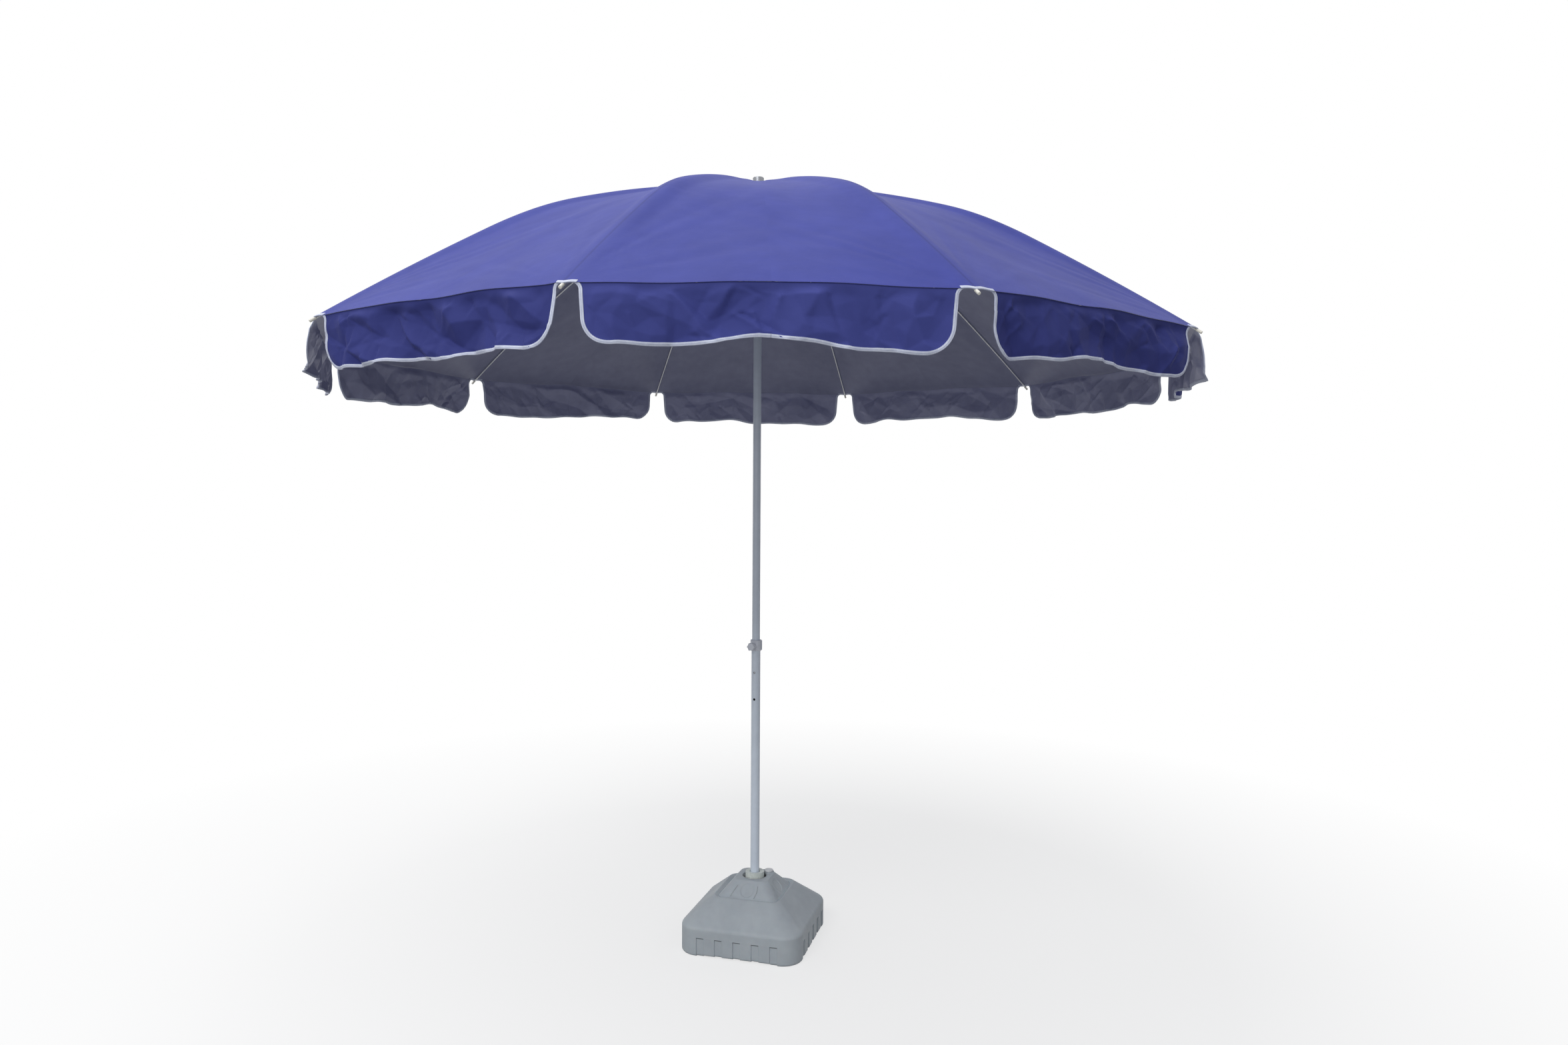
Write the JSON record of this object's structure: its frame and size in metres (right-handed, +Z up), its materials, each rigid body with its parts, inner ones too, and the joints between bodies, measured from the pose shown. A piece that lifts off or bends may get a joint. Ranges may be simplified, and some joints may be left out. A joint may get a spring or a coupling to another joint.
{
  "type": "patio umbrella with base",
  "caption": "Round patio umbrella: cloth canopy with hanging flaps on a folding steel rib frame, with a telescoping pole and a square water-filled plastic base.",
  "frame": {"origin": "on the ground, on the axis of the pole", "axes": "+Z up along the pole; +X and +Y along the sides of the square base; rib 1 points along -Y"},
  "size_m": [2.8554, 3.0018, 2.712],
  "materials": {
    "tank_plastic": "satin moulded",
    "water": "stands for water",
    "white_plastic": "satin",
    "grey_plastic": "satin",
    "black_plastic": "satin",
    "rubber": "matte",
    "pole_paint": "powder coated",
    "rib_steel": "zinc coated",
    "bright_steel": "polished",
    "pin_steel": "plain",
    "canopy_cloth": "coated woven polyester"
  },
  "bodies": {
    "base": {"base_tank": "tank_plastic", "water_fill": "water", "pole_collet": "white_plastic"},
    "base_nut": {"base_nut": "white_plastic"},
    "fill_cap": {"fill_cap": "white_plastic", "cap_seal": "rubber"},
    "lower_pole": {"lower_pole": "pole_paint", "lower_pole_plug": "black_plastic", "clamp_collar": "grey_plastic"},
    "clamp_knob": {"clamp_knob": "grey_plastic", "clamp_screw": "pin_steel"},
    "upper_pole": {"upper_pole": "pole_paint", "pole_bush": "black_plastic", "crown_hub": "grey_plastic", "crown_pins": "pin_steel", "finial": "bright_steel"},
    "snap_button": {"snap_button": "pin_steel"},
    "runner_catch": {"runner_catch": "pin_steel"},
    "runner": {"runner": "grey_plastic"},
    "rib_01": {"rib_01": "rib_steel", "canopy_01": "canopy_cloth"},
    "stretcher_01": {"stretcher_01": "rib_steel"},
    "valance_01": {"valance_01": "canopy_cloth"},
    "rib_02": {"rib_02": "rib_steel", "canopy_02": "canopy_cloth"},
    "stretcher_02": {"stretcher_02": "rib_steel"},
    "valance_02": {"valance_02": "canopy_cloth"},
    "rib_03": {"rib_03": "rib_steel", "canopy_03": "canopy_cloth"},
    "stretcher_03": {"stretcher_03": "rib_steel"},
    "valance_03": {"valance_03": "canopy_cloth"},
    "rib_04": {"rib_04": "rib_steel", "canopy_04": "canopy_cloth"},
    "stretcher_04": {"stretcher_04": "rib_steel"},
    "valance_04": {"valance_04": "canopy_cloth"},
    "rib_05": {"rib_05": "rib_steel", "canopy_05": "canopy_cloth"},
    "stretcher_05": {"stretcher_05": "rib_steel"},
    "valance_05": {"valance_05": "canopy_cloth"},
    "rib_06": {"rib_06": "rib_steel", "canopy_06": "canopy_cloth"},
    "stretcher_06": {"stretcher_06": "rib_steel"},
    "valance_06": {"valance_06": "canopy_cloth"},
    "rib_07": {"rib_07": "rib_steel", "canopy_07": "canopy_cloth"},
    "stretcher_07": {"stretcher_07": "rib_steel"},
    "valance_07": {"valance_07": "canopy_cloth"},
    "rib_08": {"rib_08": "rib_steel", "canopy_08": "canopy_cloth"},
    "stretcher_08": {"stretcher_08": "rib_steel"},
    "valance_08": {"valance_08": "canopy_cloth"},
    "rib_09": {"rib_09": "rib_steel", "canopy_09": "canopy_cloth"},
    "stretcher_09": {"stretcher_09": "rib_steel"},
    "valance_09": {"valance_09": "canopy_cloth"},
    "rib_10": {"rib_10": "rib_steel", "canopy_10": "canopy_cloth"},
    "stretcher_10": {"stretcher_10": "rib_steel"},
    "valance_10": {"valance_10": "canopy_cloth"}
  },
  "joints": [
    {"name": "pole_lift", "type": "slide", "parent": "base", "child": "lower_pole", "axis": [0, 0, 1], "range_m": [0, 0.19]},
    {"name": "nut_turn", "type": "hinge", "parent": "base", "child": "base_nut", "pos_m": [0, 0, 0.225], "axis": [0, 0, 1], "range_deg": [0, 720]},
    {"name": "cap_turn", "type": "hinge", "parent": "base", "child": "fill_cap", "pos_m": [0.041, 0.041, 0.228], "axis": [0, 0, 1], "range_deg": [0, 540]},
    {"name": "knob_turn", "type": "hinge", "parent": "lower_pole", "child": "clamp_knob", "pos_m": [-0.00675, -0.02923, 1.054], "axis": [-0.225, -0.9744, 0], "range_deg": [0, 720]},
    {"name": "pole_telescope", "type": "slide", "parent": "lower_pole", "child": "upper_pole", "axis": [0, 0, 1], "range_m": [-0.192, 0]},
    {"name": "button_press", "type": "slide", "parent": "upper_pole", "child": "snap_button", "axis": [0.0698, 0.9976, 0], "range_m": [0, 0.003], "stiffness_N_per_m": 600},
    {"name": "catch_press", "type": "slide", "parent": "upper_pole", "child": "runner_catch", "axis": [-1, 0, 0], "range_m": [0, 0.0042], "stiffness_N_per_m": 600},
    {"name": "runner_slide", "type": "slide", "parent": "upper_pole", "child": "runner", "axis": [0, 0, -1], "range_m": [0, 1.02579], "deforming": ["canopy_01", "canopy_02", "canopy_03", "canopy_04", "canopy_05", "canopy_06", "canopy_07", "canopy_08", "canopy_09", "canopy_10", "valance_01", "valance_02", "valance_03", "valance_04", "valance_05", "valance_06", "valance_07", "valance_08", "valance_09", "valance_10"]},
    {"name": "rib_hinge_01", "type": "hinge", "parent": "upper_pole", "child": "rib_01", "pos_m": [0, -0.032, 2.668], "axis": [1, 0, 0], "range_deg": [0, 66.3]},
    {"name": "stretcher_hinge_01", "type": "hinge", "parent": "rib_01", "child": "stretcher_01", "pos_m": [0, -0.69676, 2.508], "axis": [1, 0, 0], "range_deg": [-132.59, 0]},
    {"name": "valance_hinge_01", "type": "hinge", "parent": "rib_01", "child": "valance_01", "pos_m": [0, -1.488, 2.07198], "axis": [1, 0, 0], "range_deg": [-66.3, 0]},
    {"name": "rib_hinge_02", "type": "hinge", "parent": "upper_pole", "child": "rib_02", "pos_m": [0.01881, -0.02589, 2.668], "axis": [0.809, 0.5878, 0], "range_deg": [0, 66.3]},
    {"name": "stretcher_hinge_02", "type": "hinge", "parent": "rib_02", "child": "stretcher_02", "pos_m": [0.40955, -0.56369, 2.508], "axis": [0.809, 0.5878, 0], "range_deg": [-132.59, 0]},
    {"name": "valance_hinge_02", "type": "hinge", "parent": "rib_02", "child": "valance_02", "pos_m": [0.87462, -1.20382, 2.07198], "axis": [0.809, 0.5878, 0], "range_deg": [-66.3, 0]},
    {"name": "rib_hinge_03", "type": "hinge", "parent": "upper_pole", "child": "rib_03", "pos_m": [0.03043, -0.00989, 2.668], "axis": [0.309, 0.9511, 0], "range_deg": [0, 66.3]},
    {"name": "stretcher_hinge_03", "type": "hinge", "parent": "rib_03", "child": "stretcher_03", "pos_m": [0.66266, -0.21531, 2.508], "axis": [0.309, 0.9511, 0], "range_deg": [-132.59, 0]},
    {"name": "valance_hinge_03", "type": "hinge", "parent": "rib_03", "child": "valance_03", "pos_m": [1.41517, -0.45982, 2.07198], "axis": [0.309, 0.9511, 0], "range_deg": [-66.3, 0]},
    {"name": "rib_hinge_04", "type": "hinge", "parent": "upper_pole", "child": "rib_04", "pos_m": [0.03043, 0.00989, 2.668], "axis": [-0.309, 0.9511, 0], "range_deg": [0, 66.3]},
    {"name": "stretcher_hinge_04", "type": "hinge", "parent": "rib_04", "child": "stretcher_04", "pos_m": [0.66266, 0.21531, 2.508], "axis": [-0.309, 0.9511, 0], "range_deg": [-132.59, 0]},
    {"name": "valance_hinge_04", "type": "hinge", "parent": "rib_04", "child": "valance_04", "pos_m": [1.41517, 0.45982, 2.07198], "axis": [-0.309, 0.9511, 0], "range_deg": [-66.3, 0]},
    {"name": "rib_hinge_05", "type": "hinge", "parent": "upper_pole", "child": "rib_05", "pos_m": [0.01881, 0.02589, 2.668], "axis": [-0.809, 0.5878, 0], "range_deg": [0, 66.3]},
    {"name": "stretcher_hinge_05", "type": "hinge", "parent": "rib_05", "child": "stretcher_05", "pos_m": [0.40955, 0.56369, 2.508], "axis": [-0.809, 0.5878, 0], "range_deg": [-132.59, 0]},
    {"name": "valance_hinge_05", "type": "hinge", "parent": "rib_05", "child": "valance_05", "pos_m": [0.87462, 1.20382, 2.07198], "axis": [-0.809, 0.5878, 0], "range_deg": [-66.3, 0]},
    {"name": "rib_hinge_06", "type": "hinge", "parent": "upper_pole", "child": "rib_06", "pos_m": [0, 0.032, 2.668], "axis": [-1, 0, 0], "range_deg": [0, 66.3]},
    {"name": "stretcher_hinge_06", "type": "hinge", "parent": "rib_06", "child": "stretcher_06", "pos_m": [0, 0.69676, 2.508], "axis": [-1, 0, 0], "range_deg": [-132.59, 0]},
    {"name": "valance_hinge_06", "type": "hinge", "parent": "rib_06", "child": "valance_06", "pos_m": [0, 1.488, 2.07198], "axis": [-1, 0, 0], "range_deg": [-66.3, 0]},
    {"name": "rib_hinge_07", "type": "hinge", "parent": "upper_pole", "child": "rib_07", "pos_m": [-0.01881, 0.02589, 2.668], "axis": [-0.809, -0.5878, 0], "range_deg": [0, 66.3]},
    {"name": "stretcher_hinge_07", "type": "hinge", "parent": "rib_07", "child": "stretcher_07", "pos_m": [-0.40955, 0.56369, 2.508], "axis": [-0.809, -0.5878, 0], "range_deg": [-132.59, 0]},
    {"name": "valance_hinge_07", "type": "hinge", "parent": "rib_07", "child": "valance_07", "pos_m": [-0.87462, 1.20382, 2.07198], "axis": [-0.809, -0.5878, 0], "range_deg": [-66.3, 0]},
    {"name": "rib_hinge_08", "type": "hinge", "parent": "upper_pole", "child": "rib_08", "pos_m": [-0.03043, 0.00989, 2.668], "axis": [-0.309, -0.9511, 0], "range_deg": [0, 66.3]},
    {"name": "stretcher_hinge_08", "type": "hinge", "parent": "rib_08", "child": "stretcher_08", "pos_m": [-0.66266, 0.21531, 2.508], "axis": [-0.309, -0.9511, 0], "range_deg": [-132.59, 0]},
    {"name": "valance_hinge_08", "type": "hinge", "parent": "rib_08", "child": "valance_08", "pos_m": [-1.41517, 0.45982, 2.07198], "axis": [-0.309, -0.9511, 0], "range_deg": [-66.3, 0]},
    {"name": "rib_hinge_09", "type": "hinge", "parent": "upper_pole", "child": "rib_09", "pos_m": [-0.03043, -0.00989, 2.668], "axis": [0.309, -0.9511, 0], "range_deg": [0, 66.3]},
    {"name": "stretcher_hinge_09", "type": "hinge", "parent": "rib_09", "child": "stretcher_09", "pos_m": [-0.66266, -0.21531, 2.508], "axis": [0.309, -0.9511, 0], "range_deg": [-132.59, 0]},
    {"name": "valance_hinge_09", "type": "hinge", "parent": "rib_09", "child": "valance_09", "pos_m": [-1.41517, -0.45982, 2.07198], "axis": [0.309, -0.9511, 0], "range_deg": [-66.3, 0]},
    {"name": "rib_hinge_10", "type": "hinge", "parent": "upper_pole", "child": "rib_10", "pos_m": [-0.01881, -0.02589, 2.668], "axis": [0.809, -0.5878, 0], "range_deg": [0, 66.3]},
    {"name": "stretcher_hinge_10", "type": "hinge", "parent": "rib_10", "child": "stretcher_10", "pos_m": [-0.40955, -0.56369, 2.508], "axis": [0.809, -0.5878, 0], "range_deg": [-132.59, 0]},
    {"name": "valance_hinge_10", "type": "hinge", "parent": "rib_10", "child": "valance_10", "pos_m": [-0.87462, -1.20382, 2.07198], "axis": [0.809, -0.5878, 0], "range_deg": [-66.3, 0]}
  ],
  "couplings": [
    {"joint": "rib_hinge_01", "follows": "runner_slide", "rad_per_m": 1.1271},
    {"joint": "stretcher_hinge_01", "follows": "runner_slide", "rad_per_m": -2.2543},
    {"joint": "valance_hinge_01", "follows": "runner_slide", "rad_per_m": -1.1271},
    {"joint": "rib_hinge_02", "follows": "runner_slide", "rad_per_m": 1.1271},
    {"joint": "stretcher_hinge_02", "follows": "runner_slide", "rad_per_m": -2.2543},
    {"joint": "valance_hinge_02", "follows": "runner_slide", "rad_per_m": -1.1271},
    {"joint": "rib_hinge_03", "follows": "runner_slide", "rad_per_m": 1.1271},
    {"joint": "stretcher_hinge_03", "follows": "runner_slide", "rad_per_m": -2.2543},
    {"joint": "valance_hinge_03", "follows": "runner_slide", "rad_per_m": -1.1271},
    {"joint": "rib_hinge_04", "follows": "runner_slide", "rad_per_m": 1.1271},
    {"joint": "stretcher_hinge_04", "follows": "runner_slide", "rad_per_m": -2.2543},
    {"joint": "valance_hinge_04", "follows": "runner_slide", "rad_per_m": -1.1271},
    {"joint": "rib_hinge_05", "follows": "runner_slide", "rad_per_m": 1.1271},
    {"joint": "stretcher_hinge_05", "follows": "runner_slide", "rad_per_m": -2.2543},
    {"joint": "valance_hinge_05", "follows": "runner_slide", "rad_per_m": -1.1271},
    {"joint": "rib_hinge_06", "follows": "runner_slide", "rad_per_m": 1.1271},
    {"joint": "stretcher_hinge_06", "follows": "runner_slide", "rad_per_m": -2.2543},
    {"joint": "valance_hinge_06", "follows": "runner_slide", "rad_per_m": -1.1271},
    {"joint": "rib_hinge_07", "follows": "runner_slide", "rad_per_m": 1.1271},
    {"joint": "stretcher_hinge_07", "follows": "runner_slide", "rad_per_m": -2.2543},
    {"joint": "valance_hinge_07", "follows": "runner_slide", "rad_per_m": -1.1271},
    {"joint": "rib_hinge_08", "follows": "runner_slide", "rad_per_m": 1.1271},
    {"joint": "stretcher_hinge_08", "follows": "runner_slide", "rad_per_m": -2.2543},
    {"joint": "valance_hinge_08", "follows": "runner_slide", "rad_per_m": -1.1271},
    {"joint": "rib_hinge_09", "follows": "runner_slide", "rad_per_m": 1.1271},
    {"joint": "stretcher_hinge_09", "follows": "runner_slide", "rad_per_m": -2.2543},
    {"joint": "valance_hinge_09", "follows": "runner_slide", "rad_per_m": -1.1271},
    {"joint": "rib_hinge_10", "follows": "runner_slide", "rad_per_m": 1.1271},
    {"joint": "stretcher_hinge_10", "follows": "runner_slide", "rad_per_m": -2.2543},
    {"joint": "valance_hinge_10", "follows": "runner_slide", "rad_per_m": -1.1271}
  ]
}
